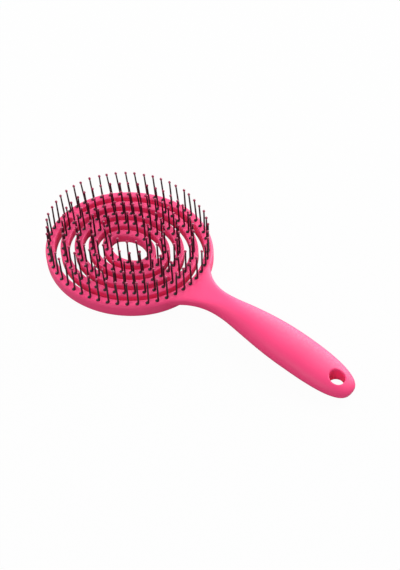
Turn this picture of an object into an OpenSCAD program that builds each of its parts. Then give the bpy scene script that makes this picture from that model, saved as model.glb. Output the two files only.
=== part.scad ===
// Oval-head detangling brush, lying on its back with the pins up.
// The head is a rim that carries four flexing rings, hung from one another on bridges that
// alternate between the handle side and the far side. The handle leaves along +X.
// The origin is under the middle of the whole brush, on the surface it lies on.
// The rim and every ring, slot and pin row follow ovals of four arcs, which are parallel unless
// the head is so long that the innermost would be pinched. Radii in the head are mean radii:
// the average of an oval's half length and half width.

/* [Head] */
// Length of the oval head, along the handle
head_l = 92.7; // [90:0.1:96]
// Width of the head, across the handle
head_w = 85.7; // [82:0.1:88]
// Height of the rim
head_h = 7.6; // [7:0.1:9]
// Width of the rim, seen from above
rim_w = 5.05; // [4.6:0.05:5.5]
// Rounding of the rim's upper outer edge
rim_top_round = 1.4; // [0.8:0.1:1.8]
// Rounding of the rim's lower outer edge
rim_back_round = 2.2; // [1.5:0.1:3]
// Rounding of the rim's lower inner edge
rim_inner_round = 0.9; // [0.5:0.1:1.2]
// How far the middle of the head is dished below the rim
dish = 0.9; // [0.2:0.1:1.8]

/* [Rings] */
// Mean diameter of the vent in the middle of the head
vent_d = 19.1; // [17:0.1:21]
// Width of the slots between the rings
slot_w = 2.95; // [2.6:0.05:3.4]
// Thickness of the rings
ring_t = 5.1; // [4.4:0.1:5.6]
// Bevel along the edges of the rings
ring_bevel = 0.3; // [0.15:0.05:0.5]
// Width of the bridges on the handle side, which carry rings 1 and 3
near_bridge_w = 6.2; // [5:0.1:8]
// Width of the bridges on the far side, which carry rings 2 and 4
far_bridge_w = 7.2; // [5:0.1:8]

/* [Pins] */
// Height of a pin above the ring that carries it, to the top of its ball
pin_h = 15.5; // [12:0.5:18]
// Diameter of a pin's shaft just above its foot
shaft_d = 1.0; // [0.8:0.05:1.2]
// Diameter of a pin's shaft inside its ball
shaft_tip_d = 0.84; // [0.7:0.02:0.9]
// Diameter of the round foot that a pin stands on
foot_d = 1.7; // [1.5:0.05:2]
// Height of the foot
foot_h = 0.7; // [0.5:0.05:1]
// How deep the foot sits in its seat
foot_seat = 0.3; // [0.2:0.05:0.4]
// Diameter of the root that is pressed into the ring
root_d = 1.3; // [1.1:0.05:1.4]
// Depth of the root below the ring's surface
root_depth = 3; // [2:0.1:3.2]
// Diameter of the ball on a pin's end
ball_d = 1.5; // [1.35:0.05:1.7]
// Gap around a pin's root and foot in the ring, and around a shaft's end in its ball
pin_fit = 0.02; // [0.01:0.01:0.05]

/* [Handle] */
// Distance from the middle of the head to the end of the handle
handle_reach = 143.4; // [136:0.2:155]
// Radius of the curve that carries the rim's outline into the neck
flare_r = 26.6; // [22:0.2:32]
// Width of the neck at its narrowest
neck_w = 13.2; // [12:0.2:16]
// Thickness of the neck where it leaves the rim
neck_t = 4.4; // [3.6:0.1:5.4]
// Width of the grip at its widest
grip_w = 22; // [20:0.2:27]
// Thickness of the grip at its thickest
grip_t = 11; // [9:0.2:12.6]
// Height of the middle of the handle at its crest, above the bottom of the rim
crest_z = 6.2; // [5.4:0.1:7.2]
// Height of the middle of the handle's rounded end, above the bottom of the rim
end_z = -1; // [-3:0.1:1]

/* [Hanging hole] */
// Diameter of the hole in the handle's end
hang_d = 7.6; // [6:0.2:9]
// Distance from the middle of the hole to the end of the handle
hang_inset = 8.8; // [8:0.2:11]
// Depth of the bevel round both mouths of the hole
hang_bevel = 0.6; // [0.3:0.1:1]

/* [Hidden] */

// Overrun of every cut past the face that it leaves through
over = 1;
// Number of pins in each row, from the innermost ring to the rim
row_pins = [14, 24, 34, 42, 52];
// Row of the rim's pins, across the rim from its inner to its outer edge
rim_row_share = 0.51;
// Number of rings between the vent and the rim
ring_count = 4;
// How far the outermost bridge runs into the rim, as a share of the rim's width
bridge_bite_share = 0.12;
// How far a bridge's faces lie below those of the rings, as a share of the rings' bevel
bridge_inset_share = 0.7;
// How far past the middle of its ball a shaft reaches, as a share of the ball's diameter
tip_seat_share = 0.17;

// Mean radii of the rim's outside and inside
head_r = (head_l + head_w) / 4;
rim_r = head_r - rim_w;
// How much longer than wide the rim's oval is on either side of the middle
stretch = (head_l - head_w) / 4;
// Inner wall of the rim below the level of the rings, set back from the outermost slot
wall_r = rim_r + ring_bevel;
vent_r = vent_d / 2;
// Width of a ring, from what the slots leave of the head
ring_w = (rim_r - vent_r) / ring_count - slot_w;
ring_pitch = ring_w + slot_w;
slot_half = slot_w / 2;
// An oval's arcs are centred at arc_share of its stretch from the middle of the head. The arcs
// at its ends fall short of its mean radius by shift_share of the stretch and those at its
// sides exceed it by as much, which at the vent is never more than bend_share of the radius.
arc_share = 2 / (2 - sqrt(2));
shift_share = arc_share / sqrt(2);
bend_share = 0.8;
vent_stretch_max = vent_r * bend_share / shift_share;
vent_stretch = min(max(stretch, -vent_stretch_max), vent_stretch_max);
// The whole brush is centred on the origin along X
head_x = -(handle_reach - head_l / 2) / 2;

// Places along the handle, as shares of its length from the neck to its end
crest_share = 0.14;
round_share = 0.12;
thick_share = 0.27;
wide_share = 0.56;
// How fast the neck swells into the grip, droops past the crest and rounds at the end
swell_power = 0.84;
droop_power = 1.6;
end_power = 2.8;
// Squareness of the handle's section at the rim and along the grip
neck_power = 6;
grip_power = 2.2;
// How far inside the rim's outline the neck's curve starts, as a share of the rim's width
flare_sink_share = 0.13;

// The flare is an arc tangent to a circle just inside the rim's end and to the neck's side
flare_base_r = head_r - stretch * shift_share - rim_w * flare_sink_share;
neck_half = neck_w / 2;
neck_x = stretch * arc_share + sqrt(pow(flare_base_r + flare_r, 2) - pow(neck_half + flare_r, 2));
handle_len = handle_reach - neck_x;
crest_x = neck_x + handle_len * crest_share;
round_x = neck_x + handle_len * round_share;
thick_x = neck_x + handle_len * thick_share;
wide_x = neck_x + handle_len * wide_share;
// The handle's solid starts inside the rim and its thickness starts to grow outside it
root_x = rim_r + stretch + rim_w * flare_sink_share;
grow_x = head_r + stretch + rim_w * flare_sink_share;
root_z = head_h - neck_t / 2;
hang_x = handle_reach - hang_inset;

// Rings of points along the neck, along the grip and round the end, and points in each
neck_steps = 12;
grip_steps = 10;
end_steps = 9;
section_points = 32;

// Arcs are drawn with this many steps in a revolved outline
arc_steps = 4;

function held(v) = min(1, max(0, v));
function ease(v) = (1 - cos(180 * held(v))) / 2;
function between(a, b, v) = a + (b - a) * v;

// Stretch of the ovals of ring k, or of the rim where k is ring_count, and of the slot outside
// ring k where k ends in a half
function stretch_of(k) = between(vent_stretch, stretch, k / ring_count);

// Point of the oval of ring k with mean radius r where its outward normal points in direction a
function arc_of(a) = 90 * round(a / 90);
function arc_centre(k, b) = stretch_of(k) * arc_share * [cos(b), -sin(b)];
function arc_r(k, r, b) = r - stretch_of(k) * shift_share * cos(2 * b);
function oval_point(k, r, a) =
    arc_centre(k, arc_of(a)) + arc_r(k, r, arc_of(a)) * [cos(a), sin(a)];

// Direction of the normal at a share v of the way round that oval from the handle's side
function quarter_turn(k, r, v) = let (end_v = arc_r(k, r, 0) / (2 * r))
    v < end_v ? 45 * v / end_v : 90 - 45 * (1 - v) / (1 - end_v);
function turn_at(k, r, v) = let (j = floor(4 * v), w = 4 * v - j)
    j % 2 == 0 ? 90 * j + quarter_turn(k, r, w) : 90 * (j + 1) - quarter_turn(k, r, 1 - w);

// Inner and outer mean radius of ring k, counted from 0 at the vent, and the middle of the
// slot outside it
function ring_in(k) = vent_r + k * ring_pitch;
function ring_out(k) = ring_in(k) + ring_w;
function slot_mid(k) = ring_out(k) + slot_half;

// Mean radius of pin row k, where the last row stands on the rim
function row_r(k) = k < ring_count ? ring_in(k) + ring_w / 2 : rim_r + rim_w * rim_row_share;

// Level upper face and back of ring k, where the rings step down into the dish, and of the rim
function face_z(k) = k < ring_count ? head_h - dish * (1 - pow(row_r(k) / rim_r, 2)) : head_h;
function back_z(k) = face_z(k) - ring_t;

// Corner of radius r about the point c, from angle a to angle b
function corner(c, r, a, b) = [
    for (i = [0 : arc_steps]) c + r * [cos(between(a, b, i / arc_steps)),
                                       sin(between(a, b, i / arc_steps))]
];

// Half width of the handle at a distance x from the middle of the head
function flare_half(x) = neck_half + flare_r - sqrt(pow(flare_r, 2) - pow(neck_x - x, 2));
function swell_half(x) =
    between(neck_half, grip_w / 2, ease(pow(held((x - neck_x) / (wide_x - neck_x)), swell_power)));
function round_off(v) = pow(1 - pow(held(v), end_power), 1 / end_power);
function half_w(x) = x < neck_x ? flare_half(x) : x < wide_x ? swell_half(x)
    : grip_w / 2 * round_off((x - wide_x) / (handle_reach - wide_x));

// Half thickness of the handle there, and the height of its middle
function half_t(x) = x < thick_x
    ? between(neck_t / 2, grip_t / 2, ease((x - grow_x) / (thick_x - grow_x)))
    : grip_t / 2 * round_off((x - thick_x) / (handle_reach - thick_x));
function mid_z(x) = between(root_z, crest_z, ease((x - grow_x) / (crest_x - grow_x)))
    - (crest_z - end_z) * pow(held((x - crest_x) / (handle_reach - crest_x)), droop_power);

// Rise of the handle's upper face (up = 1) or lower face (up = -1) across x, from r to r
function side_z(x, up) = mid_z(x) + up * half_t(x);
function face_rise(x, r, up) = side_z(x + r, up) - side_z(x - r, up);

// Squareness of the handle's section there
function section_power(x) =
    between(neck_power, grip_power, ease((x - root_x) / (round_x - root_x)));

function signed_power(v, p) = sign(v) * pow(abs(v), p);
function section(x) = [
    for (i = [0 : section_points - 1])
        let (a = 360 * i / section_points, p = 2 / section_power(x))
        [x, half_w(x) * signed_power(cos(a), p), mid_z(x) + half_t(x) * signed_power(sin(a), p)]
];

// Places of the handle's sections: even along the neck and the grip, closer towards the end
handle_stations = concat(
    [for (i = [0 : neck_steps - 1]) between(root_x, neck_x, i / neck_steps)],
    [for (i = [0 : grip_steps - 1]) between(neck_x, wide_x, i / grip_steps)],
    [for (i = [0 : end_steps - 1])
        between(wide_x, handle_reach, sin(90 * i / end_steps))]
);

// The brush lies on the far side of its rim and on the grip's belly, which hangs a little
// below the rim: the tilt that brings both down to one surface, and the lift that goes with it
rest_x = head_l / 2 - rim_back_round;
rest_tilt = max([for (x = handle_stations) atan2(half_t(x) - mid_z(x), x + rest_x)]);
rest_lift = rest_x * sin(rest_tilt);

// The neck and grip: sections carried along the handle and closed to a point at its end
module handle_loft() {
    last = len(handle_stations) - 1;
    rings = [for (x = handle_stations) each section(x)];
    tip = [handle_reach, 0, mid_z(handle_reach)];
    start = [root_x, 0, mid_z(root_x)];
    tip_i = len(rings);
    start_i = tip_i + 1;
    polyhedron(
        points = concat(rings, [tip, start]),
        faces = concat(
            [for (j = [0 : last - 1], i = [0 : section_points - 1])
                let (n = (i + 1) % section_points, a = j * section_points, b = a + section_points)
                each [[a + i, b + n, a + n], [a + i, b + i, b + n]]],
            [for (i = [0 : section_points - 1])
                let (n = (i + 1) % section_points, a = last * section_points)
                [a + i, tip_i, a + n]],
            [for (i = [0 : section_points - 1])
                [i, (i + 1) % section_points, start_i]]
        )
    );
}

// An outline drawn at its mean radius, carried round one arc of ring k's oval between two normals
module along_arc(k, b, from, to, outline) {
    translate(arc_centre(k, b))
        rotate([0, 0, from])
            rotate_extrude(angle = to - from, $fn = 120)
                polygon([for (p = outline) [arc_r(k, p[0], b), p[1]]]);
}

// An outline carried once round that oval
module once_round(k, outline) {
    for (b = [0 : 90 : 270]) along_arc(k, b, b - 45, b + 45, outline);
}

// The rim: rounded edges and a flat inner wall, with a step that meets the outermost slot
module rim() {
    once_round(ring_count, concat(
        corner([wall_r + rim_inner_round, rim_inner_round], rim_inner_round, 180, 270),
        corner([head_r - rim_back_round, rim_back_round], rim_back_round, 270, 360),
        corner([head_r - rim_top_round, head_h - rim_top_round], rim_top_round, 0, 90),
        [
            [rim_r + ring_bevel, head_h],
            [rim_r, head_h - ring_bevel],
            [rim_r, back_z(ring_count)],
            [wall_r, back_z(ring_count)]
        ]
    ));
}

// Ring k: a level band with four bevelled edges
module ring(k) {
    a = ring_in(k);
    b = ring_out(k);
    e = ring_bevel;
    once_round(k, [
        [a, back_z(k) + e],
        [a + e, back_z(k)],
        [b - e, back_z(k)],
        [b, back_z(k) + e],
        [b, face_z(k) - e],
        [b - e, face_z(k)],
        [a + e, face_z(k)],
        [a, face_z(k) - e]
    ]);
}

// Bridge across the slot outside ring k, just below the faces of the rings, with hollow ends
// that round off the slot
module bridge(k) {
    near = k % 2 == 0;
    m = k + 1 / 2;
    r = slot_mid(k);
    half_w = (near ? near_bridge_w : far_bridge_w) / 2 + slot_half;
    half_angle = half_w / arc_r(m, r, 0) * 180 / PI;
    a = ring_out(k) + stretch_of(k) - stretch_of(m) - ring_bevel;
    b = ring_in(k + 1) + stretch_of(k + 1) - stretch_of(m)
        + (k < ring_count - 1 ? ring_bevel : rim_w * bridge_bite_share);
    low = back_z(k + 1) + ring_bevel * bridge_inset_share;
    top = face_z(k) - ring_bevel * bridge_inset_share;
    rotate([0, 0, near ? 0 : 180])
        difference() {
            along_arc(m, 0, -half_angle, half_angle, [[a, low], [b, low], [b, top], [a, top]]);
            for (v = [half_angle, -half_angle])
                translate(concat(oval_point(m, r, v), low - over))
                    cylinder(h = ring_t + 2 * over, r = slot_half, $fn = 48);
        }
}

// Frame of each pin in row k, evenly spaced along the row and square to the head
module at_pins(k) {
    n = row_pins[k];
    r = row_r(k);
    for (i = [0 : n - 1])
        translate(concat(oval_point(k, r, turn_at(k, r, i / n)), face_z(k)))
            children();
}

// Seat of one pin: a blind hole for its root and a shallow recess for its foot
module pin_seat() {
    rotate_extrude($fn = 24)
        polygon([
            [0, -root_depth],
            [root_d / 2 + pin_fit, -root_depth],
            [root_d / 2 + pin_fit, -foot_seat],
            [foot_d / 2 + pin_fit, -foot_seat],
            [foot_d / 2 + pin_fit, foot_h],
            [0, foot_h]
        ]);
}

// Height of the middle of a pin's ball, and of the end of the shaft inside it
ball_z = pin_h - ball_d / 2;
shaft_end_z = ball_z + ball_d * tip_seat_share;

// One nylon pin: root, foot and tapering shaft, turned about its own axis
module pin() {
    rotate_extrude($fn = 16)
        polygon([
            [0, -root_depth],
            [root_d / 2, -root_depth],
            [root_d / 2, -foot_seat],
            [foot_d / 2, -foot_seat],
            [foot_d / 2, foot_h - foot_seat],
            [shaft_d / 2, foot_h - foot_seat],
            [shaft_tip_d / 2, shaft_end_z],
            [0, shaft_end_z]
        ]);
}

// One ball tip, bored for the end of its shaft
module pin_tip() {
    difference() {
        translate([0, 0, ball_z]) sphere(d = ball_d, $fn = 20);
        translate([0, 0, ball_z - ball_d])
            cylinder(h = shaft_end_z - ball_z + ball_d, d = shaft_tip_d + 2 * pin_fit, $fn = 16);
    }
}

// Hole for a hook through the handle's end, bevelled along the slope of each face
module hang_hole() {
    r = hang_d / 2;
    translate([hang_x, 0, mid_z(hang_x)]) {
        cylinder(h = 2 * half_t(hang_x) + 2 * over, r = r, center = true, $fn = 64);
        for (up = [1, -1])
            translate([0, 0, up * half_t(hang_x)])
                rotate([0, -atan2(face_rise(hang_x, r, up), hang_d), 0])
                    rotate_extrude($fn = 64)
                        polygon([
                            [0, -up * (r + hang_bevel)],
                            [r + hang_bevel + over, up * over],
                            [0, up * over]
                        ]);
    }
}

module place() { translate([head_x, 0, rest_lift]) rotate([0, -rest_tilt, 0]) children(); }

module brush_body() {
    color([0.94, 0.25, 0.5])
        place()
            difference() {
                union() {
                    rim();
                    for (k = [0 : ring_count - 1]) {
                        ring(k);
                        bridge(k);
                    }
                    handle_loft();
                }
                for (k = [0 : ring_count]) at_pins(k) pin_seat();
                hang_hole();
            }
}

module pin_row(k) { color([0.13, 0.07, 0.09]) place() at_pins(k) pin(); }
module tip_row(k) { color([0.9, 0.3, 0.5]) place() at_pins(k) pin_tip(); }

module inner_ring_pins() { pin_row(0); }
module second_ring_pins() { pin_row(1); }
module third_ring_pins() { pin_row(2); }
module outer_ring_pins() { pin_row(3); }
module rim_pins() { pin_row(4); }
module inner_ring_pin_tips() { tip_row(0); }
module second_ring_pin_tips() { tip_row(1); }
module third_ring_pin_tips() { tip_row(2); }
module outer_ring_pin_tips() { tip_row(3); }
module rim_pin_tips() { tip_row(4); }

brush_body();
rim_pins();
outer_ring_pins();
third_ring_pins();
second_ring_pins();
inner_ring_pins();
rim_pin_tips();
outer_ring_pin_tips();
third_ring_pin_tips();
second_ring_pin_tips();
inner_ring_pin_tips();
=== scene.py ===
"""Oval vented detangling brush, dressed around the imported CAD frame.

The brush's own sizes are millimetres in the head's frame: origin under the middle of the head,
X along the handle, Z square to the head. RestFrame lays the finished points down in metres.
The sizes of the finishes, the floor and the lamps are metres.
"""

import logging
import math
from abc import ABC, abstractmethod
from collections.abc import Iterator
from dataclasses import dataclass
from enum import Enum, IntEnum

import bpy
import numpy as np
from mathutils import Matrix, Vector


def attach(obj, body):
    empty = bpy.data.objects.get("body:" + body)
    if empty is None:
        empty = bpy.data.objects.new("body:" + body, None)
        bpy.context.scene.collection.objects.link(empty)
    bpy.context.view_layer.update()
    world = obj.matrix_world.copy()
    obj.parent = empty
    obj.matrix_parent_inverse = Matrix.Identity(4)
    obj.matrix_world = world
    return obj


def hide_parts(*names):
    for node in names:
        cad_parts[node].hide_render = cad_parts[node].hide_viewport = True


log = logging.getLogger("brush")

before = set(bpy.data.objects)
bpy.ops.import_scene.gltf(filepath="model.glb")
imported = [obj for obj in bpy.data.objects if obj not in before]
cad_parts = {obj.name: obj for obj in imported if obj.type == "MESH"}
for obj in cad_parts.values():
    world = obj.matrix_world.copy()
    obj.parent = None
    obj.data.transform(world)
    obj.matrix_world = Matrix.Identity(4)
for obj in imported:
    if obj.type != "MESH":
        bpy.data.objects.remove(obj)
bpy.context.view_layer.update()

Grid = np.ndarray
Point = tuple[float, float, float]
Shell = tuple[Grid, list]       # points, and faces as lists of point numbers
Tree = bpy.types.NodeTree
Socket = bpy.types.NodeSocket

MM = 1e-3                       # one millimetre in metres
QUARTER = np.pi / 2
WHITE = (1.0, 1.0, 1.0, 1.0)
SHARP_ANGLE = math.radians(50)  # faces that meet at more than this keep a sharp edge
WHOLE = 0.999                   # a share above this counts as all of the way


class Slot(Enum):
    """Material slots of the record."""

    BODY = "body"
    PIN = "pin"
    TIP = "tip"


class Wall(IntEnum):
    """Walls of a ring. The value is the way along the radius that leads into the ring."""

    OUTER = -1
    INNER = 1

    def slot(self, k: int) -> int:
        """Slot beside this wall of ring k, where -1 is the vent in the middle."""
        return k if self is Wall.OUTER else k - 1


class Face(IntEnum):
    """Faces of the handle. The value is the way along Z that leads out of it."""

    LOWER = -1
    UPPER = 1


@dataclass(frozen=True)
class RestFrame:
    """How the head's frame lies on the surface under the brush.

    Attributes:
        tilt: turn about Y that sets the far rim and the belly of the grip down, degrees.
        lift: height of the frame's origin over that surface.
        head_x: where the middle of the head lies along the whole brush.
    """

    tilt: float = 1.09863
    lift: float = 0.846512
    head_x: float = -48.525

    def lay(self, points: Grid) -> Grid:
        """Turn, shift and scale points of the head's frame into the scene.

        A point goes to (x cos a - z sin a + head_x, y, x sin a + z cos a + lift), with the
        tilt a.

        Args:
            points: millimetre points, last axis x, y, z.

        Returns:
            The same points in metres, at rest.
        """
        c, s = math.cos(math.radians(self.tilt)), math.sin(math.radians(self.tilt))
        x, y, z = points[..., 0], points[..., 1], points[..., 2]
        laid = np.stack([x * c - z * s + self.head_x, y, x * s + z * c + self.lift], -1)
        return laid * MM


REST = RestFrame()


def linear(hex_code: str) -> tuple[float, ...]:
    """Turn an sRGB colour into the linear one that sockets take.

    By the sRGB curve: v / 12.92 up to 0.04045, and above it ((v + 0.055) / 1.055) ^ 2.4.

    Args:
        hex_code: six hex digits.

    Returns:
        Red, green, blue and full alpha, each 0..1.
    """
    srgb = np.array([int(hex_code[i:i + 2], 16) for i in (0, 2, 4)]) / 255
    low, high = srgb / 12.92, ((srgb + 0.055) / 1.055) ** 2.4
    return (*np.where(srgb <= 0.04045, low, high).tolist(), 1.0)


def bare_tree(owner: bpy.types.Material | bpy.types.World) -> Tree:
    """Turn on an owner's nodes and take away the ones that it starts with.

    Args:
        owner: material or world.

    Returns:
        Its empty node tree.
    """
    owner.use_nodes = True
    owner.node_tree.nodes.clear()
    return owner.node_tree


def add_node(tree: Tree, kind: str, constants: dict | None = None) -> bpy.types.Node:
    """Add a node, and set its constants on its own sockets.

    Args:
        tree: tree that gets the node.
        kind: Blender's name for the node, without ShaderNode.
        constants: values of the sockets that don't keep their default, by name or number.

    Returns:
        The node.
    """
    node = tree.nodes.new("ShaderNode" + kind)
    for name, value in (constants or {}).items():
        node.inputs[name].default_value = value
    return node


@dataclass(frozen=True)
class Finish:
    """A moulded surface: one colour that drifts a little, with fine grain and sheen.

    Attributes:
        name: name of the material.
        colour: main colour, sRGB hex.
        shade: colour that the main one drifts towards in broad soft patches.
        drift: size of those patches.
        drift_share: how far the colour goes towards the shade at most.
        rough: mean roughness.
        rough_spread: how much the roughness varies over the surface.
        grain: size of the surface grain.
        grain_height: height of the grain.
        specular: specular level.
        coat: weight of a clear coat.
        coat_rough: roughness of that coat.
        sheen: weight of the soft sheen.
        sheen_rough: roughness of the sheen.
        sheen_tint: colour of the sheen, sRGB hex.
        speckle: size of the patches of roughness, in grains.
        soft_detail: how many finer layers the patches of colour and the grain have.
        speckle_detail: how many finer layers the patches of roughness have.
        noise_low: value of the noise texture that stands for its lowest.
        noise_high: value of the noise texture that stands for its highest.
    """

    name: str
    colour: str
    shade: str
    drift: float
    drift_share: float
    rough: float
    rough_spread: float
    grain: float
    grain_height: float
    specular: float
    coat: float = 0.0
    coat_rough: float = 0.2
    sheen: float = 0.0
    sheen_rough: float = 0.45
    sheen_tint: str = "FFFFFF"
    speckle: float = 6.0
    soft_detail: float = 2.0
    speckle_detail: float = 3.0
    noise_low: float = 0.3
    noise_high: float = 0.7

    def build(self) -> bpy.types.Material:
        """Make the node material on object coordinates.

        Returns:
            The finished material.
        """
        mat = bpy.data.materials.new(self.name)
        tree = bare_tree(mat)
        out = add_node(tree, "OutputMaterial")
        where = add_node(tree, "TexCoord").outputs["Object"]
        skin = add_node(tree, "BsdfPrincipled", {
            "Specular IOR Level": self.specular,
            "Coat Weight": self.coat, "Coat Roughness": self.coat_rough,
            "Sheen Weight": self.sheen, "Sheen Roughness": self.sheen_rough,
            "Sheen Tint": linear(self.sheen_tint),
        })

        patches = self.noise(tree, where, self.drift, self.soft_detail)
        mix = add_node(tree, "Mix")
        mix.data_type = "RGBA"
        mix.inputs["A"].default_value = linear(self.colour)
        mix.inputs["B"].default_value = linear(self.shade)
        tree.links.new(self.ranged(tree, patches, 0.0, self.drift_share), mix.inputs["Factor"])
        tree.links.new(mix.outputs["Result"], skin.inputs["Base Color"])

        speckle = self.noise(tree, where, self.grain * self.speckle, self.speckle_detail)
        rough = self.ranged(
            tree, speckle, self.rough - self.rough_spread, self.rough + self.rough_spread
        )
        tree.links.new(rough, skin.inputs["Roughness"])

        grain = self.noise(tree, where, self.grain, self.soft_detail)
        bump = add_node(tree, "Bump", {"Strength": 1.0, "Distance": self.grain_height})
        tree.links.new(grain, bump.inputs["Height"])
        tree.links.new(bump.outputs["Normal"], skin.inputs["Normal"])
        tree.links.new(skin.outputs["BSDF"], out.inputs["Surface"])
        return mat

    @staticmethod
    def noise(tree: Tree, where: Socket, size: float, detail: float) -> Socket:
        """Add a noise texture on the object's own coordinates.

        Args:
            tree: tree of the material.
            where: coordinates.
            size: size of its features.
            detail: how many finer layers it has.

        Returns:
            The texture's value, about 0.5 on average.
        """
        node = add_node(tree, "TexNoise", {"Scale": 1 / size, "Detail": detail})
        tree.links.new(where, node.inputs["Vector"])
        return node.outputs["Fac"]

    def ranged(self, tree: Tree, value: Socket, low: float, high: float) -> Socket:
        """Carry noise_low..noise_high over to low..high in a straight line.

        Args:
            tree: tree of the material.
            value: a noise texture's value.
            low: what noise_low becomes.
            high: what noise_high becomes.

        Returns:
            The new value, which stays between low and high.
        """
        node = add_node(tree, "MapRange", {"From Min": self.noise_low, "To Min": low,
                                           "From Max": self.noise_high, "To Max": high})
        tree.links.new(value, node.inputs["Value"])
        return node.outputs["Result"]


SOFT_TOUCH = Finish(
    name="soft_touch_pink", colour="F9417E", shade="F43977", drift=0.02, drift_share=0.6,
    rough=0.5, rough_spread=0.05, grain=0.00022, grain_height=0.000006, specular=0.42,
    sheen=0.05, sheen_tint="FFC4DA",
)
NYLON = Finish(
    name="black_nylon", colour="2A1218", shade="1A0B10", drift=0.004, drift_share=0.8,
    rough=0.38, rough_spread=0.06, grain=0.0002, grain_height=0.000003, specular=0.5,
)
RESIN = Finish(
    name="dipped_resin", colour="B02A58", shade="8C1F45", drift=0.0015, drift_share=0.7,
    rough=0.22, rough_spread=0.05, grain=0.0003, grain_height=0.000002, specular=0.5, coat=0.3,
)
FINISHES = {Slot.BODY: SOFT_TOUCH, Slot.PIN: NYLON, Slot.TIP: RESIN}
Finished = dict[Slot, bpy.types.Material]


def mesh_object(name: str, shell: Shell) -> bpy.types.Object:
    """Make an object of the scene from points and faces.

    Args:
        name: name of the object and its mesh.
        shell: points in the mesh's own unit, and faces.

    Returns:
        The object, linked to the scene.
    """
    points, faces = shell
    mesh = bpy.data.meshes.new(name)
    mesh.from_pydata(points.tolist(), [], faces)
    mesh.update()
    obj = bpy.data.objects.new(name, mesh)
    bpy.context.scene.collection.objects.link(obj)
    return obj


@dataclass(frozen=True)
class Surface:
    """A closed surface of the brush, and what it is in the scene.

    Attributes:
        name: name of the piece.
        shell: its points in the head's frame, and its faces.
        slot: record slot that it takes its finish from.
        stands_for: CAD nodes that it replaces.
    """

    name: str
    shell: Shell
    slot: Slot
    stands_for: tuple[str, ...]

    def dress(self, finished: Finished) -> bpy.types.Object:
        """Lay the surface down as a smooth piece in its finish, which rides on the brush.

        Args:
            finished: material of each slot.

        Returns:
            The piece.
        """
        points, faces = self.shell
        obj = mesh_object(self.name, (REST.lay(points), faces))
        mesh = obj.data
        mesh.materials.append(finished[self.slot])
        mesh.polygons.foreach_set("use_smooth", np.ones(len(mesh.polygons), bool))
        mesh.set_sharp_from_angle(angle=SHARP_ANGLE)
        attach(obj, "root")
        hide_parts(*self.stands_for)
        return obj


class SubAssembly(ABC):
    """A part of the brush that builds its surfaces and dresses them."""

    @abstractmethod
    def surfaces(self) -> Iterator[Surface]:
        """Build the surfaces, one after the other."""

    def dress(self, finished: Finished) -> list[bpy.types.Object]:
        """Put every surface into the scene as a dressed piece."""
        return [surface.dress(finished) for surface in self.surfaces()]


def ring_quads(rows: int, stations: int) -> Grid:
    """Join the rows of a grid of points with quads, the last station to the first.

    Args:
        rows: rows of the grid.
        stations: points in each row.

    Returns:
        Point numbers, (rows - 1) x stations x 4.
    """
    here = np.arange(rows * stations).reshape(rows, stations)
    beyond = np.roll(here, -1, 1)
    return np.stack([here[:-1], beyond[:-1], beyond[1:], here[1:]], -1)


def turned(profile: Grid, sides: int) -> Shell:
    """Make a small solid of revolution, closed at both ends.

    The profile swings round Z: each point is (r cos a, r sin a, z). Its first and last rows
    lie on the axis and are the poles.

    Args:
        profile: rows of radius and height from the lower to the upper pole.
        sides: points round the axis.

    Returns:
        Points, and faces: triangles at the poles and quads between them.
    """
    a = 2 * np.pi * np.arange(sides) / sides
    belts = profile[1:-1]
    rings = np.stack([belts[:, :1] * np.cos(a), belts[:, :1] * np.sin(a),
                      np.broadcast_to(belts[:, 1:], (len(belts), sides))], -1)
    points = np.vstack([rings.reshape(-1, 3), [[0, 0, profile[0, 1]], [0, 0, profile[-1, 1]]]])
    i, low, high = np.arange(sides), len(points) - 2, len(points) - 1
    top = low - sides
    faces = [
        np.stack([np.full(sides, low), np.roll(i, -1), i], -1),
        ring_quads(len(belts), sides).reshape(-1, 4),
        np.stack([top + i, top + np.roll(i, -1), np.full(sides, high)], -1),
    ]
    return points, [corners for group in faces for corners in group.tolist()]


def strewn(solid: Shell, places: Grid, leans: Grid) -> Shell:
    """Copy a small solid to every place.

    A copy shifts to its place, and above the place's level each point also shifts by the
    lean times its height.

    Args:
        solid: points and faces of one solid.
        places: one position per copy.
        leans: how far each copy leans in x and y for each unit of height.

    Returns:
        All points and all faces.
    """
    points, faces = solid
    copies = points[None].repeat(len(places), 0)
    copies[..., :2] += leans[:, None, :] * np.maximum(points[None, :, 2:], 0)
    copies = (places[:, None, :] + copies).reshape(-1, 3)
    return copies, [[p + n * len(points) for p in face]
                    for n in range(len(places)) for face in faces]


def quarter_round(steps: int) -> list[tuple[float, float]]:
    """Step round a quarter circle of radius 1 from a face down to the wall beside it."""
    # inset and drop from (1, 0) to (0, 1): at angle v, 1 - sin v in from the wall and
    # 1 - cos v below the face
    return [(1 - math.sin(v), 1 - math.cos(v)) for v in np.linspace(0, QUARTER, steps + 1)]


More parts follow.
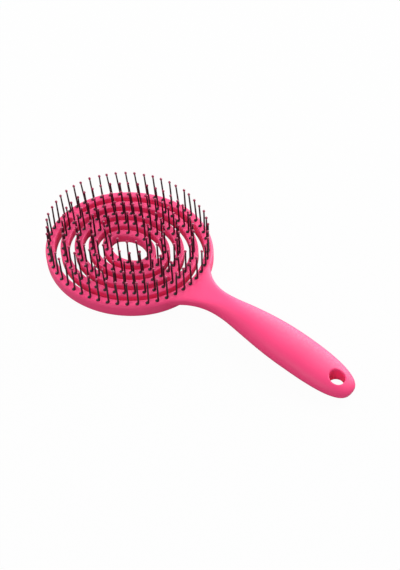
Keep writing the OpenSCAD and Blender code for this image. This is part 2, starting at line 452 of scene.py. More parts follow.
@dataclass(frozen=True)
class OvalHead:
    """Sizes of the head: a rim and four level rings on parallel ovals of four arcs.

    Between the rings, and between the last of them and the rim, run slots. Slot j lies outside
    ring j, and one bridge crosses it, on the handle's side if j is even and on the far side
    if it is odd.

    Attributes:
        length: outline along the handle.
        width: outline across the handle.
        height: height of the rim.
        rim_w: width of the rim.
        dish: how much lower than the rim a face in the very middle would be.
        vent_d: mean diameter of the vent in the middle.
        slot_w: width of the slots.
        ring_t: thickness of the rings.
        near_bridge_w: width of the bridges on the handle's side.
        far_bridge_w: width of the bridges on the far side.
        rim_row_share: where the rim's pins stand, as a share of its width.
        ring_count: how many rings the head has.
    """

    length: float = 92.7
    width: float = 85.7
    height: float = 7.6
    rim_w: float = 5.05
    dish: float = 0.9
    vent_d: float = 19.1
    slot_w: float = 2.95
    ring_t: float = 5.1
    near_bridge_w: float = 6.2
    far_bridge_w: float = 7.2
    rim_row_share: float = 0.51
    ring_count: int = 4

    @property
    def mean_r(self) -> float:
        """Mean radius of the outline."""
        return (self.length + self.width) / 4

    @property
    def rim_r(self) -> float:
        """Mean radius of the rim's inside."""
        return self.mean_r - self.rim_w

    @property
    def arc_c(self) -> float:
        """Distance from the middle of the head to the arcs' centres."""
        return (self.length - self.width) / 2 / (2 - math.sqrt(2))

    @property
    def shift(self) -> float:
        """How much the end arcs fall short of the mean radius."""
        return self.arc_c / math.sqrt(2)

    @property
    def ring_w(self) -> float:
        """Width of a ring."""
        return (self.rim_r - self.vent_d / 2) / self.ring_count - self.slot_w

    def tip_x(self, r: float) -> float:
        """Where the oval of mean radius r crosses X on the handle's side."""
        return r + self.arc_c - self.shift

    def ring_in(self, k: int) -> float:
        """Inner mean radius of ring k."""
        return self.vent_d / 2 + k * (self.ring_w + self.slot_w)

    def slot_mid(self, j: int) -> float:
        """Mean radius of the middle of slot j."""
        return self.ring_in(j) + self.ring_w + self.slot_w / 2

    def slot_end_r(self, j: int) -> float:
        """Radius of the end arcs of slot j's middle line."""
        return self.slot_mid(j) - self.shift

    def bridge_angle(self, j: int) -> float:
        """Normal angle of slot j's bridge."""
        return 0.0 if j % 2 == 0 else np.pi

    def bridge_reach(self, j: int) -> float:
        """Angle from the middle of slot j's bridge to the centre of the slot's round end."""
        width = self.near_bridge_w if j % 2 == 0 else self.far_bridge_w
        return (width / 2 + self.slot_w / 2) / self.slot_end_r(j)

    def row_r(self, k: int) -> float:
        """Mean radius of the pins on ring k, or on the rim where k is ring_count."""
        on_ring = self.ring_in(k) + self.ring_w / 2
        return on_ring if k < self.ring_count else self.rim_r + self.rim_w * self.rim_row_share

    def face_z(self, k: int) -> float:
        """Height of ring k's face, height - dish (1 - (row_r / rim_r)^2), or of the rim's."""
        sunk = self.dish * (1 - (self.row_r(k) / self.rim_r) ** 2)
        return self.height - sunk if k < self.ring_count else self.height

    def point(self, r: Grid | float, a: Grid) -> Grid:
        """Find the points of the oval of mean radius r where its normal points at angle a.

        Arc b (the nearest multiple of 90 degrees) is centred at c (cos b, -sin b) and has the
        radius r - shift cos 2b.

        Args:
            r: mean radii.
            a: angles in radians.

        Returns:
            Points x, y on a new last axis.
        """
        r, a = np.broadcast_arrays(np.asarray(r, float), np.asarray(a, float))
        b = np.round(a / QUARTER) * QUARTER
        rr = r - self.shift * np.cos(2 * b)
        return np.stack([self.arc_c * np.cos(b) + rr * np.cos(a),
                         -self.arc_c * np.sin(b) + rr * np.sin(a)], -1)

    def turn(self, r: float, share: Grid) -> Grid:
        """Find the normal angles at even shares of the way round the oval.

        Half an end arc is (r - shift) / 2r of a quarter's length, and half a side arc is the
        rest. Each spans 45 degrees, and on it the angle grows evenly with the length.

        Args:
            r: mean radius.
            share: shares 0..1 of the oval's length, from the handle's side.

        Returns:
            Angles in radians.
        """
        end = (r - self.shift) / (2 * r)
        j = np.floor(4 * share)
        w = 4 * share - j
        odd = (j % 2) == 1
        v = np.where(odd, 1 - w, w)
        q = np.where(v < end, 45 * v / end, 90 - 45 * (1 - v) / (1 - end))
        return np.radians(np.where(odd, 90 * (j + 1) - q, 90 * j + q))


class Skin:
    """Points and faces of one closed surface, gathered grid by grid."""

    def __init__(self) -> None:
        """Start with no points."""
        self.points: list[Grid] = []
        self.faces: list[Grid] = []
        self.count = 0

    def grid(self, points: Grid, skip: Grid | None = None, flip: bool = False) -> None:
        """Add a grid of quads whose last station joins the first.

        Args:
            points: rows x stations x 3 points.
            skip: rows x stations mask of quads to leave out, named by their first corner.
            flip: whether to turn the faces over.
        """
        rows, stations = points.shape[:2]
        quads = ring_quads(rows, stations) + self.count
        quads = quads.reshape(-1, 4) if skip is None else quads[~skip]
        self.faces.append(quads[:, ::-1] if flip else quads)
        self.points.append(points.reshape(-1, 3))
        self.count += rows * stations

    def fan(self, ring: Grid, tip: Grid, flip: bool = False) -> None:
        """Close a ring of points with triangles to the point tip, turned over by flip."""
        self.grid(np.stack([ring, np.broadcast_to(tip, ring.shape)]), flip=flip)

    def merged(self, grain: float = 2e-5) -> Shell:
        """Join points that coincide, and drop the corners and faces that this folds up.

        Args:
            grain: distance below which points are the same, in the skin's own unit.

        Returns:
            Points and faces.
        """
        points = np.vstack(self.points)
        _, first, back = np.unique(np.round(points / grain).astype(np.int64), axis=0,
                                   return_index=True, return_inverse=True)
        faces = []
        for quad in back.reshape(-1)[np.vstack(self.faces)].tolist():
            corners = [p for n, p in enumerate(quad) if p != quad[n - 1]]
            if len(set(corners)) == len(corners) >= 3:
                faces.append(corners)
        return points[first], faces


@dataclass(frozen=True)
class Stations:
    """Places round one ring of the web, in order of rising angle.

    Attributes:
        angle: nominal normal angle of each, radians.
        slot: slot whose bridge it lies in, or -1.
        side: -1 or 1 on the round end of the slot before or after the bridge, 0 between them.
        share: share of the quarter turn round that end, or of the way along the bridge.
    """

    angle: Grid
    slot: Grid
    side: Grid
    share: Grid

    def joined(self, j: int) -> Grid:
        """Mark the stations from which a step runs on the middle line of slot j's bridge."""
        # two rings meet along this line, so no wall stands there; the vent, slot -1, has none
        on = (self.slot == j) & ((self.side == 0) | (self.share > WHOLE)) & (j >= 0)
        return on & np.roll(on, -1)


class Strip:
    """Rows of points over the same stations, which close into one ring or the rim."""

    def __init__(self, stations: int) -> None:
        """Start with no rows.

        Args:
            stations: points in each row.
        """
        self.none = np.zeros(stations, bool)
        self.rows: list[Grid] = []
        self.skips: list[Grid] = []

    def add(self, xy: Grid, z: Grid | float, skip: Grid | None = None) -> None:
        """Add a row at height z, and mark the quads to leave out between it and the next."""
        self.rows.append(np.column_stack([xy, np.broadcast_to(z, len(xy))]))
        self.skips.append(self.none if skip is None else skip)

    def leave_out_none(self) -> None:
        """Keep all the quads between the last row and the next."""
        self.skips[-1] = self.none

    def close(self, skin: Skin) -> None:
        """Add the rows to a skin."""
        skin.grid(np.stack(self.rows), np.stack(self.skips)[:-1])


@dataclass
class Web(SubAssembly):
    """The head: rings, bridges and rim as one closed skin with rounded edges.

    Each ring is a closed strip. Its edge leaves the slot's side at the bridge, follows the
    slot's round end as a quarter circle up to the middle of the slot, and there meets the
    strip of the neighbouring ring.

    Attributes:
        head: sizes of the head.
        edge: round of the upper edges.
        vent_edge: round of the upper edge of the vent.
        back_edge: round of the lower edges of the rings.
        guard: how far a guard row lies from the round that it keeps apart from the flat.
        end_steps: steps round each half of a slot's end.
        bridge_steps: places along a bridge between the slot's ends.
        edge_steps: steps round an edge.
        step_angle: longest step between two bridges, degrees.
        rim_top_round: round of the rim's upper outer edge.
        rim_back_round: round of the rim's lower outer edge.
        rim_inner_round: round of the rim's lower inner edge.
    """

    head: OvalHead
    edge: float = 0.55
    vent_edge: float = 1.3
    back_edge: float = 0.4
    guard: float = 0.12
    end_steps: int = 7
    bridge_steps: int = 6
    edge_steps: int = 5
    step_angle: float = 2.4
    rim_top_round: float = 1.4
    rim_back_round: float = 2.2
    rim_inner_round: float = 0.9

    def stations(self, k: int) -> Stations:
        """Choose the places round a ring or the rim, dense in its two bridges.

        Each bridge takes a quarter turn round the slot's end before it, even steps across
        it and a quarter turn round the slot's end after it. From there even steps of at most
        step_angle lead to the next bridge.

        Args:
            k: the ring, or ring_count for the rim.

        Returns:
            The places.
        """
        def table(angle: Grid, slot: int, side: int, share: Grid | float) -> Grid:
            """One row for each angle: angle, slot, side and share."""
            return np.column_stack(np.broadcast_arrays(angle, slot, side, share))

        h, parts = self.head, []
        bridges = sorted((h.bridge_angle(j), j) for j in (k - 1, k) if 0 <= j < h.ring_count)
        quarter = np.linspace(0, 1, self.end_steps + 1)
        along = np.arange(1, self.bridge_steps + 1) / (self.bridge_steps + 1)
        for n, (b, j) in enumerate(bridges):
            reach = h.bridge_reach(j)
            rho = (h.slot_w / 2 + self.edge) * np.sin(quarter * QUARTER)
            turn = np.arctan(rho / h.slot_end_r(j))
            inner = reach - turn[-1]
            parts += [table(b - reach + turn, j, -1, quarter),
                      table(b + inner * (2 * along - 1), j, 0, along),
                      table(b + reach - turn, j, 1, quarter)[::-1]]
            b2, j2 = bridges[(n + 1) % len(bridges)]
            start = b + reach
            stop = b2 - h.bridge_reach(j2) + (2 * np.pi if n == len(bridges) - 1 else 0)
            count = int(np.ceil(np.degrees(stop - start) / self.step_angle))
            parts.append(table(np.linspace(start, stop, count + 1)[1:-1], -1, 0, 0.0))
        angle, slot, side, share = np.vstack(parts).T
        return Stations(angle, slot.astype(int), side, share)

    def border(self, k: int, st: Stations, wall: Wall, d: Grid | float) -> tuple[Grid, Grid]:
        """Trace a wall of ring k along its slot, moved into the ring.

        Along the slot the wall is the oval of mean radius mid + wall rho, with rho = half
        slot + d. Round the slot's end it is C + rho (wall cos f n + sin f t), with the end's
        centre C, the normal n, the way t to the bridge and f from 0 to 90 degrees. On the
        bridge, where two rings meet, it lies hypot(slot_end_r, rho) from the centre of the
        oval's end arc. The share of the way to the neighbour's level is 3 s^2 - 2 s^3 with
        s = (1 - cos f) / 2 round the end, and a half on the bridge.

        Args:
            k: the ring, or ring_count for the rim.
            st: its stations.
            wall: which of its walls.
            d: how far the wall moves into the ring, for each station.

        Returns:
            Points x, y of the stations and the share of the way to the neighbour's level.
        """
        h, j = self.head, wall.slot(k)
        d = np.broadcast_to(d, st.angle.shape)
        level = np.zeros(len(st.angle))
        if j < 0:
            return h.point(h.vent_d / 2 + d, st.angle), level
        rho = h.slot_w / 2 + d
        xy = h.point(h.slot_mid(j) + wall * rho, st.angle)
        b, reach, big = h.bridge_angle(j), h.bridge_reach(j), h.slot_end_r(j)
        hub = np.array([h.arc_c * math.cos(b), 0])

        # round the slot's ends
        end = (st.slot == j) & (st.side != 0)
        a = b + st.side[end] * reach
        n = np.column_stack([np.cos(a), np.sin(a)])
        t = -st.side[end, None] * np.column_stack([-np.sin(a), np.cos(a)])
        f = (st.share[end] * QUARTER)[:, None]
        xy[end] = hub + big * n + rho[end, None] * (wall * np.cos(f) * n + np.sin(f) * t)
        s = (1 - np.cos(f[:, 0])) / 2
        level[end] = s * s * (3 - 2 * s)

        # on the bridge
        mid = (st.slot == j) & (st.side == 0)
        a = b + (reach - np.arctan(rho[mid] / big)) * (2 * st.share[mid] - 1)
        xy[mid] = hub + np.hypot(big, rho[mid])[:, None] * np.column_stack([np.cos(a), np.sin(a)])
        level[mid] = 0.5
        return xy, level

    def ring(self, k: int, skin: Skin) -> None:
        """Add ring k as one closed strip.

        Its rows run in over the face, down the inner wall, out under the ring and up the
        outer wall, with a quarter round at each corner.

        Args:
            k: the ring.
            skin: what it is added to.
        """
        h, st = self.head, self.stations(k)
        strip = Strip(len(st.angle))

        def wall_row(wall: Wall, d: float, drop: float, skip: Grid | None = None) -> None:
            """Add a row on a wall.

            Args:
                wall: which wall.
                d: how far into the ring.
                drop: how far below the face.
                skip: quads to leave out after it.
            """
            xy, level = self.border(k, st, wall, d)
            other = h.face_z(max(k - wall, 0))
            strip.add(xy, h.face_z(k) * (1 - level) + other * level - drop, skip)

        def guard_row(wall: Wall, d: float, drop: float) -> None:
            """Add a row on a flat, just past the end of the round beside it.

            Args:
                wall: wall that the round leads to.
                d: how far into the ring the round ends.
                drop: how far below the face the flat lies.
            """
            j = wall.slot(k)
            middle, half = (h.slot_mid(j), h.slot_w / 2) if j >= 0 else (h.vent_d / 2, 0.0)
            xy = h.point(middle + wall * (half + d + self.guard), st.angle)
            strip.add(xy, h.face_z(k) - drop)

        inner, outer = st.joined(k - 1), st.joined(k)
        down = quarter_round(self.edge_steps)
        top, back, thick = self.edge, self.back_edge, h.ring_t
        near = top if k else self.vent_edge
        wall_row(Wall.OUTER, top, 0)
        guard_row(Wall.OUTER, top, 0)
        guard_row(Wall.INNER, near, 0)
        for inset, drop in down:
            wall_row(Wall.INNER, near * inset, near * drop, inner)
        for inset, drop in down:
            wall_row(Wall.INNER, back * drop, thick - back * inset, inner)
        strip.leave_out_none()
        guard_row(Wall.INNER, back, thick)
        guard_row(Wall.OUTER, back, thick)
        for inset, drop in down[::-1]:
            wall_row(Wall.OUTER, back * drop, thick - back * inset, outer)
        for inset, drop in down[::-1]:
            wall_row(Wall.OUTER, top * inset, top * drop, outer)
        strip.close(skin)

    def rim(self, skin: Skin) -> None:
        """Add the rim as one closed strip.

        Its rows run in over the top, down the inner wall to the level of the rings' backs
        and on down to the rim's own back, out under the rim, and up its rounded outside.
        Beside the slot the wall runs straight through the rings' level. Towards the bridge it
        turns in there, by bent from 0 to 1, and meets the round of the bridge's back.

        Args:
            skin: what it is added to.
        """
        h, k = self.head, self.head.ring_count
        st = self.stations(k)
        strip = Strip(len(st.angle))

        def oval_row(r: float, z: float) -> None:
            """Add a row on the plain oval of mean radius r, at height z."""
            strip.add(h.point(r, st.angle), z)

        def wall_row(d: Grid | float, z: float) -> None:
            """Add a row on the inner wall, d into the rim, at height z beside the slot."""
            xy, level = self.border(k, st, Wall.INNER, d)
            strip.add(xy, z + (h.face_z(k - 1) - h.face_z(k)) * level, st.joined(k - 1))

        on = st.slot == k - 1
        bent = np.where(on & (st.side != 0), np.sin(st.share * QUARTER), on * 1.0)
        fine, wide = quarter_round(self.edge_steps), quarter_round(2 * self.edge_steps)
        top, back, low = self.edge, self.back_edge, h.height - h.ring_t
        r_top, r_back, r_inner = self.rim_top_round, self.rim_back_round, self.rim_inner_round
        oval_row(h.mean_r - r_top, h.height)
        oval_row(h.mean_r - r_top - self.guard, h.height)
        oval_row(h.rim_r + top + self.guard, h.height)
        for inset, drop in fine:
            wall_row(top * inset, h.height - top * drop)
        for inset, drop in fine:
            wall_row(bent * back * drop, low + back * inset)
        strip.leave_out_none()
        oval_row(h.rim_r, low)
        for inset, drop in wide:
            oval_row(h.rim_r + r_inner * drop, r_inner * inset)
        oval_row(h.rim_r + r_inner + self.guard, 0)
        oval_row(h.mean_r - r_back - self.guard, 0)
        for inset, drop in wide:
            oval_row(h.mean_r - r_back * inset, r_back * drop)
        for inset, drop in wide:
            oval_row(h.mean_r - r_top * drop, h.height - r_top * inset)
        strip.close(skin)

    def surfaces(self) -> Iterator[Surface]:
        """Join the rings and the rim into the whole head.

        Yields:
            The head.
        """
        skin = Skin()
        for k in range(self.head.ring_count):
            self.ring(k, skin)
        self.rim(skin)
        yield Surface("head_web_dressed", skin.merged(), Slot.BODY, ("brush_body",))


@dataclass
class Handle(SubAssembly):
    """Neck and grip as one closed loft with the hanging hole cut through its end.

    The section at x is y = w(x) sgn(cos u) |cos u|^(2/p(x)), z = m(x) + t(x) sgn(sin u)
    |sin u|^(2/p(x)), with half width w, half thickness t, middle m and squareness p.

    Attributes:
        head: sizes of the head.
        reach: where the handle ends.
        flare_r: radius of the flare that leads from the rim into the neck.
        flare_reach: how far before the neck that radius is followed.
        neck_w: width of the neck.
        neck_t: thickness of the neck where it leaves the rim.
        grip_w: width of the grip.
        grip_t: thickness of the grip.
        crest_z: height of the middle at the crest.
        end_z: height of the middle at the end.
        crest_share: place of the crest, as a share of the way from the neck to the end.
        round_share: place where the section has become round, as such a share.
        thick_share: place where the grip is thickest, as such a share.
        wide_share: place where the grip is widest, as such a share.
        swell_power: how late the neck widens, below 1 for early.
        droop_power: how late the middle falls after the crest.
        end_power: how blunt the end is.
        root_square: squareness of the section at the rim.
        grip_square: squareness of the section along the grip.
        sink_share: how far the flare starts inside the rim's outline, as a share of the rim.
        hang_d: diameter of the hanging hole.
        hang_inset: distance from the hole's middle to the end.
        mouth_round: round of the hole's mouths.
        mouth_start: angle of that round that its outermost row stands at, degrees.
        mouth_rows: rows of each mouth's round.
        lip_share: how far the plug's lips stand outside the bore, in mouth rounds.
        lip_rise: height of the plug's lips over the handle's faces.
        cap_rise: height of the plug's caps over its lips.
        hole_sides: points round the hole.
        sides: points round the handle.
        fine_x: where the stations grow dense, ahead of the hole.
        close_x: where the stations begin to close up towards the end.
        flare_stations: stations up to the neck.
        grip_stations: stations from the neck to fine_x.
        hole_stations: stations from fine_x to close_x.
        end_stations: stations from close_x to the end.
    """

    head: OvalHead
    reach: float = 143.4
    flare_r: float = 26.6
    flare_reach: float = 24.0
    neck_w: float = 13.2
    neck_t: float = 4.4
    grip_w: float = 22.0
    grip_t: float = 11.0
    crest_z: float = 6.2
    end_z: float = -1.0
    crest_share: float = 0.14
    round_share: float = 0.12
    thick_share: float = 0.27
    wide_share: float = 0.56
    swell_power: float = 0.84
    droop_power: float = 1.6
    end_power: float = 2.8
    root_square: float = 6.0
    grip_square: float = 2.2
    sink_share: float = 0.13
    hang_d: float = 7.6
    hang_inset: float = 8.8
    mouth_round: float = 0.75
    mouth_start: float = 14.0
    mouth_rows: int = 9
    lip_share: float = 1.9
    lip_rise: float = 0.35
    cap_rise: float = 2.0
    hole_sides: int = 72
    sides: int = 96
    fine_x: float = 128.0
    close_x: float = 139.0
    flare_stations: int = 22
    grip_stations: int = 44
    hole_stations: int = 24
    end_stations: int = 16

    @property
    def sink(self) -> float:
        """How far the flare starts inside the rim's outline."""
        return self.head.rim_w * self.sink_share

    @property
    def root_x(self) -> float:
        """Where the handle starts, in the rim."""
        return self.head.tip_x(self.head.rim_r) + self.sink

    @property
    def neck_x(self) -> float:
        """Where the flare ends: its arc touches the head's end arc and the neck's side."""
        far = self.head.mean_r - self.head.shift - self.sink + self.flare_r
        return self.head.arc_c + math.sqrt(far ** 2 - (self.neck_w / 2 + self.flare_r) ** 2)

    def along(self, share: float) -> float:
        """Place a share of the way from the neck to the end."""
        return self.neck_x + (self.reach - self.neck_x) * share

    @staticmethod
    def ease(v: Grid) -> Grid:
        """Cosine step from 0 to 1."""
        return (1 - np.cos(np.pi * np.clip(v, 0, 1))) / 2

    def run_out(self, v: Grid) -> Grid:
        """Blunt end from 1 to 0: (1 - v^n)^(1/n), with end_power n."""
        return (1 - np.clip(v, 0, 1) ** self.end_power) ** (1 / self.end_power)

    def shape(self, x: Grid) -> tuple[Grid, Grid, Grid, Grid]:
        """Find the section's sizes.

        The half width follows the flare's arc to the neck, grows by a cosine step of
        v^swell_power to the grip's and runs out at the end. The half thickness grows by a
        cosine step from the neck's to the grip's and runs out too. The middle climbs by a
        cosine step from the root to the crest, and falls by v^droop_power to the end. The
        squareness goes by a cosine step from the root's to the grip's.

        Args:
            x: places along the handle.

        Returns:
            Half width, half thickness, middle and squareness at each place.
        """
        crest_x, full_x = self.along(self.crest_share), self.along(self.round_share)
        thick_x, wide_x = self.along(self.thick_share), self.along(self.wide_share)
        neck, grip, nx = self.neck_w / 2, self.grip_w / 2, self.neck_x
        thin, thick = self.neck_t / 2, self.grip_t / 2
        grow_x = self.head.tip_x(self.head.mean_r) + self.sink
        root_z = self.head.height - self.neck_t / 2

        flare = neck + self.flare_r - np.sqrt(
            self.flare_r ** 2 - np.clip(nx - x, 0, self.flare_reach) ** 2)
        swelling = neck + (grip - neck) * self.ease(
            np.clip((x - nx) / (wide_x - nx), 0, 1) ** self.swell_power)
        w = np.where(x < nx, flare, np.where(
            x < wide_x, swelling, grip * self.run_out((x - wide_x) / (self.reach - wide_x))))
        t = np.where(
            x < thick_x, thin + (thick - thin) * self.ease((x - grow_x) / (thick_x - grow_x)),
            thick * self.run_out((x - thick_x) / (self.reach - thick_x)))
        m = root_z + (self.crest_z - root_z) * self.ease((x - grow_x) / (crest_x - grow_x))
        fall = np.clip((x - crest_x) / (self.reach - crest_x), 0, 1) ** self.droop_power
        m = m - (self.crest_z - self.end_z) * fall
        rounding = self.ease((x - self.root_x) / (full_x - self.root_x))
        p = self.root_square + (self.grip_square - self.root_square) * rounding
        return w, t, m, p

    def face_z(self, x: Grid, y: Grid, face: Face) -> Grid:
        """Height of a face over each (x, y): m + face t (1 - (|y| / w)^p)^(1/p)."""
        w, t, m, p = self.shape(x)
        return m + face * t * np.clip(1 - (np.abs(y) / w) ** p, 0, 1) ** (1 / p)

    def loft(self) -> Shell:
        """Build the uncut neck and grip from its sections.

        Towards the end the stations follow sin v, v from 0 to 90 degrees, and close up.

        Returns:
            Points and faces, in the head's frame.
        """
        end_turn = np.linspace(0, QUARTER, self.end_stations)
        x = np.concatenate([
            np.linspace(self.root_x, self.neck_x, self.flare_stations)[:-1],
            np.linspace(self.neck_x, self.fine_x, self.grip_stations)[:-1],
            np.linspace(self.fine_x, self.close_x, self.hole_stations)[:-1],
            self.close_x + (self.reach - self.close_x) * np.sin(end_turn[:-1]),
        ])
        w, t, m, p = (v[:, None] for v in self.shape(x))
        u = 2 * np.pi * np.arange(self.sides) / self.sides
        y = w * np.sign(np.cos(u)) * np.abs(np.cos(u)) ** (2 / p)
        z = m + t * np.sign(np.sin(u)) * np.abs(np.sin(u)) ** (2 / p)
        points = np.stack([np.broadcast_to(x[:, None], y.shape), y, z], -1)
        end_z = self.shape(np.array([self.reach]))[2][0]
        skin = Skin()
        skin.grid(points)
        skin.fan(points[-1], np.array([self.reach, 0, end_z]))
        skin.fan(points[0], np.array([self.root_x, 0, m[0, 0]]), flip=True)
        return skin.merged()

    def plug(self) -> Shell:
        """Build what the hole takes away: a bore whose mouths flare out in a round.

        At radius r + f (1 - sin b) a mouth lies f (1 - cos b) below the handle's face. Lips
        and caps outside both faces make the plug pass right through.

        Returns:
            Points and faces, in the head's frame.
        """
        r, f, hx = self.hang_d / 2, self.mouth_round, self.reach - self.hang_inset
        u = 2 * np.pi * np.arange(self.hole_sides) / self.hole_sides

        def circle(rho: float, face: Face, rise: float) -> Grid:
            """Circle of radius rho round the hole's middle, rise outside a face."""
            x, y = hx + rho * np.cos(u), rho * np.sin(u)
            return np.stack([x, y, self.face_z(x, y, face) + face * rise], -1)

        mouth_turn = np.radians(np.linspace(self.mouth_start, 90, self.mouth_rows))
        rows = []
        for face in (Face.UPPER, Face.LOWER):
            lip = circle(r + f * self.lip_share, face, self.lip_rise)
            cap = lip + np.array([0, 0, face * self.cap_rise])
            mouth = [circle(r + f * (1 - math.sin(b)), face, -f * (1 - math.cos(b)))
                     for b in mouth_turn]
            half = [cap, lip, *mouth]
            rows += half if face is Face.UPPER else half[::-1]
        skin = Skin()
        skin.grid(np.stack(rows), flip=True)
        skin.fan(rows[0], rows[0].mean(0))
        skin.fan(rows[-1], rows[-1].mean(0), flip=True)
        return skin.merged()

    def cut(self) -> Shell:
        """Cut the plug out of the loft.

        Returns:
            Points and faces, in the head's frame.
        """
        blank = mesh_object("grip_blank", self.loft())
        plug = mesh_object("hole_plug", self.plug())
        hole = blank.modifiers.new("hole", "BOOLEAN")
        hole.operation, hole.solver, hole.object = "DIFFERENCE", "EXACT", plug
        graph = bpy.context.evaluated_depsgraph_get()
        mesh = bpy.data.meshes.new_from_object(blank.evaluated_get(graph))
        points = np.empty(3 * len(mesh.vertices))
        mesh.vertices.foreach_get("co", points)
        faces = [list(face.vertices) for face in mesh.polygons]
        used = [blank.data, plug.data, mesh]
        for obj in (blank, plug):
            bpy.data.objects.remove(obj)
        for old in used:
            bpy.data.meshes.remove(old)
        return points.reshape(-1, 3), faces

    def surfaces(self) -> Iterator[Surface]:
        """Build the neck and grip, with the hole, as one surface."""
        yield Surface("neck_and_grip_dressed", self.cut(), Slot.BODY, ("brush_body",))


@dataclass
class PinRows(SubAssembly):
    """The nylon pins and their resin tips, row by row.

    Attributes:
        head: sizes of the head.
        rows: name and number of pins of each row, from the innermost ring to the rim.
        height: height of a pin with its tip over the ring's face.
        ball_d: diameter of a tip's ball.
        ball_rows: latitudes of the ball's rows of points, degrees.
        collar: rows of the collar under a ball: radius, in tip radii of the shaft, and depth
            below the ball's middle, in ball radii.
        shaft_d: diameter of a shaft at its root.
        shaft_tip_d: diameter of a shaft in its tip.
        shaft_root: radius of the shaft where it leaves its foot, in root radii.
        shaft_waist: radius further up, in root radii, and its share of the shaft's height.
        foot_d: diameter of a pin's round foot.
        foot_h: height of the foot.
        foot_sink: how deep the foot starts in its seat.
        foot_dome: rows of the foot's dome, as shares of the foot's radius and height.
        fillet_h: height over which the foot runs into the shaft.
        foot_painted_shadow_shift: how far the foot stands to one side of its shaft, in x and y,
            on the side away from the back lamp; the dark foot reaching out there is a painted
            contact shadow.
        sides: points round a pin and a tip.
        lean: usual lean of single pins, degrees.
        lean_limit: largest lean of a single pin, in usual leans.
        seed: seed of the draw of the leans.
        sweep: common lean furthest out on the swept side, in x and y for each unit of height.
        sweep_power: how fast that lean fades towards the middle of the head.
        swept_side: direction of the swept side from the middle of the head.
    """

    head: OvalHead
    rows: tuple[tuple[str, int], ...] = (
        ("inner_ring", 14), ("second_ring", 24), ("third_ring", 34), ("outer_ring", 42),
        ("rim", 52),
    )
    height: float = 15.5
    ball_d: float = 1.5
    ball_rows: tuple[float, ...] = (-58, -30, 0, 32, 62)
    collar: tuple[tuple[float, float], ...] = ((0.9, 1.25), (1.06, 1.2))
    shaft_d: float = 1.0
    shaft_tip_d: float = 0.84
    shaft_root: float = 1.02
    shaft_waist: tuple[float, float] = (0.97, 0.4)
    foot_d: float = 2.0
    foot_h: float = 0.45
    foot_sink: float = 0.3
    foot_dome: tuple[tuple[float, float], ...] = ((1.0, 0.25), (0.93, 0.7), (0.76, 1.0))
    fillet_h: float = 0.135
    foot_painted_shadow_shift: tuple[float, float] = (-0.42, -0.42)
    sides: int = 10
    lean: float = 1.1
    lean_limit: float = 2.0
    seed: int = 7
    sweep: tuple[float, float] = (-0.09, -0.03)
    sweep_power: float = 1.5
    swept_side: tuple[float, float] = (-0.64, 0.768)

    def places(self, k: int) -> Grid:
        """Stand the pins of row k on its oval, at even lengths, from the handle's side.

        Args:
            k: the row.

        Returns:
            Positions of the feet, one row per pin.
        """
        n, r = self.rows[k][1], self.head.row_r(k)
        xy = self.head.point(r, self.head.turn(r, np.arange(n) / n))
        return np.column_stack([xy, np.full(n, self.head.face_z(k))])

    def swept(self, at: Grid) -> Grid:
        """Find the lean that the pins on the swept side share, for each unit of height."""
        # sweep times s^sweep_power, where s is how far a foot lies out on the swept side, as a
        # share of the mean radius of the outline
        share = np.clip(at[:, :2] @ np.array(self.swept_side) / self.head.mean_r, 0, 1)
        return share[:, None] ** self.sweep_power * np.array(self.sweep)

    def pin(self) -> Shell:
        """Build one pin: a domed foot that starts in its seat, and a tapering shaft.

        Half the pin's outline swings round its axis. The foot then moves aside by
        foot_painted_shadow_shift times (foot_h + fillet_h - z) / fillet_h, held to 0..1, so that
        the dark foot reaches out on the side away from the back lamp as a painted contact shadow
        at the pin's base.

        Returns:
            Points and faces, with the ring's face at z = 0.
        """
        foot, shaft, top = self.foot_d / 2, self.shaft_d / 2, self.height - self.ball_d / 2
        joint_h = self.foot_h + self.fillet_h
        waist, waist_h = self.shaft_waist
        points, faces = turned(np.array([
            [0, -self.foot_sink], [foot, -self.foot_sink],
            *([foot * r, self.foot_h * z] for r, z in self.foot_dome),
            [shaft * self.shaft_root, joint_h], [shaft * waist, top * waist_h],
            [self.shaft_tip_d / 2, top], [0, top],
        ]), self.sides)
        # the dark foot moves to the shaded side of the shaft: a painted contact shadow at the
        # pin's base
        fade = np.clip((joint_h - points[:, 2:]) / self.fillet_h, 0, 1)
        points[:, :2] += fade * np.array(self.foot_painted_shadow_shift)
        return points, faces

    def tip(self) -> Shell:
        """Build one tip: a ball with a short collar where the resin ran down the shaft.

        The ball's rows lie at (r cos a, middle + r sin a), and its outline swings round the
        pin's axis.

        Returns:
            Points and faces, with the ring's face at z = 0.
        """
        r, neck = self.ball_d / 2, self.shaft_tip_d / 2
        middle = self.height - r
        a = np.radians(self.ball_rows)
        ball = np.column_stack([r * np.cos(a), middle + r * np.sin(a)])
        collar = [[neck * wide, middle - r * below] for wide, below in self.collar]
        return turned(np.vstack([[[0, collar[0][1]]], collar, ball, [[0, self.height]]]),
                      self.sides)

    def surfaces(self) -> Iterator[Surface]:
        """Copy the pin and the tip to every place of every row.

        Single pins lean by lean times a normal draw held to lean_limit, on top of the lean
        that they have in common.

        Yields:
            The pins and then the tips of each row.
        """
        solids = (("pins", self.pin(), Slot.PIN), ("pin_tips", self.tip(), Slot.TIP))
        chance = np.random.default_rng(self.seed)
        for k, (name, count) in enumerate(self.rows):
            at = self.places(k)
            spread = np.clip(chance.normal(0, 1, (count, 2)), -self.lean_limit, self.lean_limit)
            leans = np.tan(np.radians(self.lean)) * spread + self.swept(at)
            for part, solid, slot in solids:
                yield Surface(f"{name}_{part}_dressed", strewn(solid, at, leans), slot,
                              (f"{name}_{part}",))


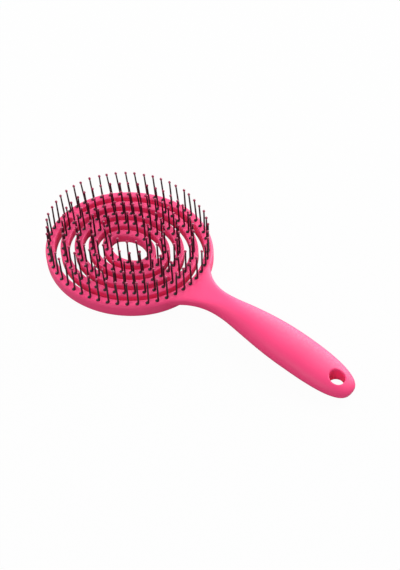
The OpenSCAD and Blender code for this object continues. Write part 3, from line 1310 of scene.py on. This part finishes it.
@dataclass(frozen=True)
class Lamp:
    """A square soft lamp.

    Attributes:
        name: name of the lamp.
        at: where it hangs.
        side: side of the square.
        watts: its power.
    """

    name: str
    at: Point
    side: float
    watts: float

    def hang(self, aim: Point) -> None:
        """Hang the lamp.

        Args:
            aim: point that it faces.
        """
        data = bpy.data.lights.new(self.name, "AREA")
        data.size, data.energy = self.side, self.watts
        obj = bpy.data.objects.new(self.name, data)
        obj.location = self.at
        obj.rotation_euler = (Vector(aim) - Vector(self.at)).to_track_quat("-Z", "Y").to_euler()
        bpy.context.scene.collection.objects.link(obj)


@dataclass
class Studio:
    """Pale floor, soft lamps and the camera of the photograph.

    Attributes:
        camera_at: where the camera stands, millimetres.
        right: direction of the picture's right side.
        up: direction of the picture's upper side.
        focal_px: focal length in pixels of the picture.
        image_w: width of the picture in pixels.
        film_w: width of the camera's film, millimetres.
        clip: nearest and furthest distance that the camera sees.
        floor_side: side of the square floor.
        floor_drop: how far the floor lies under the brush.
        paper: grey of the floor as the lamps light it.
        glow: share of plain white in what the camera sees of the floor.
        fill: strength of the white surroundings on the brush.
        aim: point that the lamps face.
        lamps: the lamps.
    """

    camera_at: Point = (226.563, -259.394, 384.916)
    right: Point = (0.761762, 0.647774, -0.010348)
    up: Point = (-0.470744, 0.564413, 0.678113)
    focal_px: float = 1000.0
    image_w: float = 400.0
    film_w: float = 36.0
    clip: tuple[float, float] = (0.01, 50.0)
    floor_side: float = 6.0
    floor_drop: float = 0.0002
    paper: float = 0.5
    glow: float = 0.97
    fill: float = 0.32
    aim: Point = (0.02, 0.0, 0.0)
    lamps: tuple[Lamp, ...] = (
        Lamp("back", (-0.07, 1.2, 0.55), side=1.4, watts=36.0),
        Lamp("front", (0.1, -0.75, 0.9), side=0.7, watts=4.8),
        Lamp("left", (-0.9, 0.0, 0.45), side=0.5, watts=3.8),
    )

    def camera(self) -> None:
        """Stand the camera where the fit to the photograph puts it."""
        data = bpy.data.cameras.new("photo_camera")
        data.sensor_fit = "HORIZONTAL"
        data.sensor_width = self.film_w
        data.lens = self.focal_px / self.image_w * self.film_w
        data.clip_start, data.clip_end = self.clip
        cam = bpy.data.objects.new("photo_camera", data)
        right, up = Vector(self.right).normalized(), Vector(self.up).normalized()
        turn = Matrix((right, up, right.cross(up))).transposed().to_4x4()
        cam.matrix_world = Matrix.Translation(Vector(self.camera_at) * MM) @ turn
        bpy.context.scene.collection.objects.link(cam)
        bpy.context.scene.camera = cam

    def floor(self) -> None:
        """Lay a white floor that shows the camera little more than the contact shadow."""
        h = self.floor_side / 2
        corners = np.array([(-h, -h, 0), (h, -h, 0), (h, h, 0), (-h, h, 0)])
        obj = mesh_object("studio_floor", (corners, [[0, 1, 2, 3]]))
        obj.location.z = -self.floor_drop
        mat = bpy.data.materials.new("white_paper")
        tree = bare_tree(mat)
        paper = add_node(tree, "BsdfDiffuse", {"Color": (self.paper,) * 3 + (1.0,)})
        glow = add_node(tree, "Emission", {"Color": WHITE, "Strength": 1.0})
        share = add_node(tree, "Math", {1: self.glow})
        share.operation = "MULTIPLY"
        rays = add_node(tree, "LightPath")
        tree.links.new(rays.outputs["Is Camera Ray"], share.inputs[0])
        self.blend(tree, share.outputs[0], paper, glow, add_node(tree, "OutputMaterial"))
        obj.data.materials.append(mat)

    def world(self) -> None:
        """Make white surroundings: soft for the brush, full white for the camera."""
        world = bpy.data.worlds.new("studio_world")
        bpy.context.scene.world = world
        tree = bare_tree(world)
        soft = add_node(tree, "Background", {"Color": WHITE, "Strength": self.fill})
        seen = add_node(tree, "Background", {"Color": WHITE, "Strength": 1.0})
        rays = add_node(tree, "LightPath").outputs["Is Camera Ray"]
        self.blend(tree, rays, soft, seen, add_node(tree, "OutputWorld"))

    @staticmethod
    def blend(tree: Tree, share: Socket, lit: bpy.types.Node, seen: bpy.types.Node,
              out: bpy.types.Node) -> None:
        """Send out a mix of what light meets and what the camera sees.

        Args:
            tree: tree of the material or world.
            share: share of what the camera sees.
            lit: shader that light meets.
            seen: shader that the camera sees.
            out: output of the tree.
        """
        mix = add_node(tree, "MixShader")
        for source, socket in zip((share, lit.outputs[0], seen.outputs[0]), mix.inputs):
            tree.links.new(source, socket)
        tree.links.new(mix.outputs[0], out.inputs["Surface"])

    def build(self) -> None:
        """Set up camera, floor, world and lamps."""
        bpy.context.scene.view_settings.view_transform = "Standard"
        self.camera()
        self.floor()
        self.world()
        for lamp in self.lamps:
            lamp.hang(self.aim)


def main() -> None:
    """Build the brush and its studio."""
    logging.basicConfig(level=logging.INFO, format="%(name)s: %(message)s")
    finished = {slot: finish.build() for slot, finish in FINISHES.items()}
    head = OvalHead()
    for part in (Web(head), Handle(head), PinRows(head)):
        for piece in part.dress(finished):
            log.info("%s: %d faces", piece.name, len(piece.data.polygons))
    Studio().build()


if __name__ == "__main__":
    main()
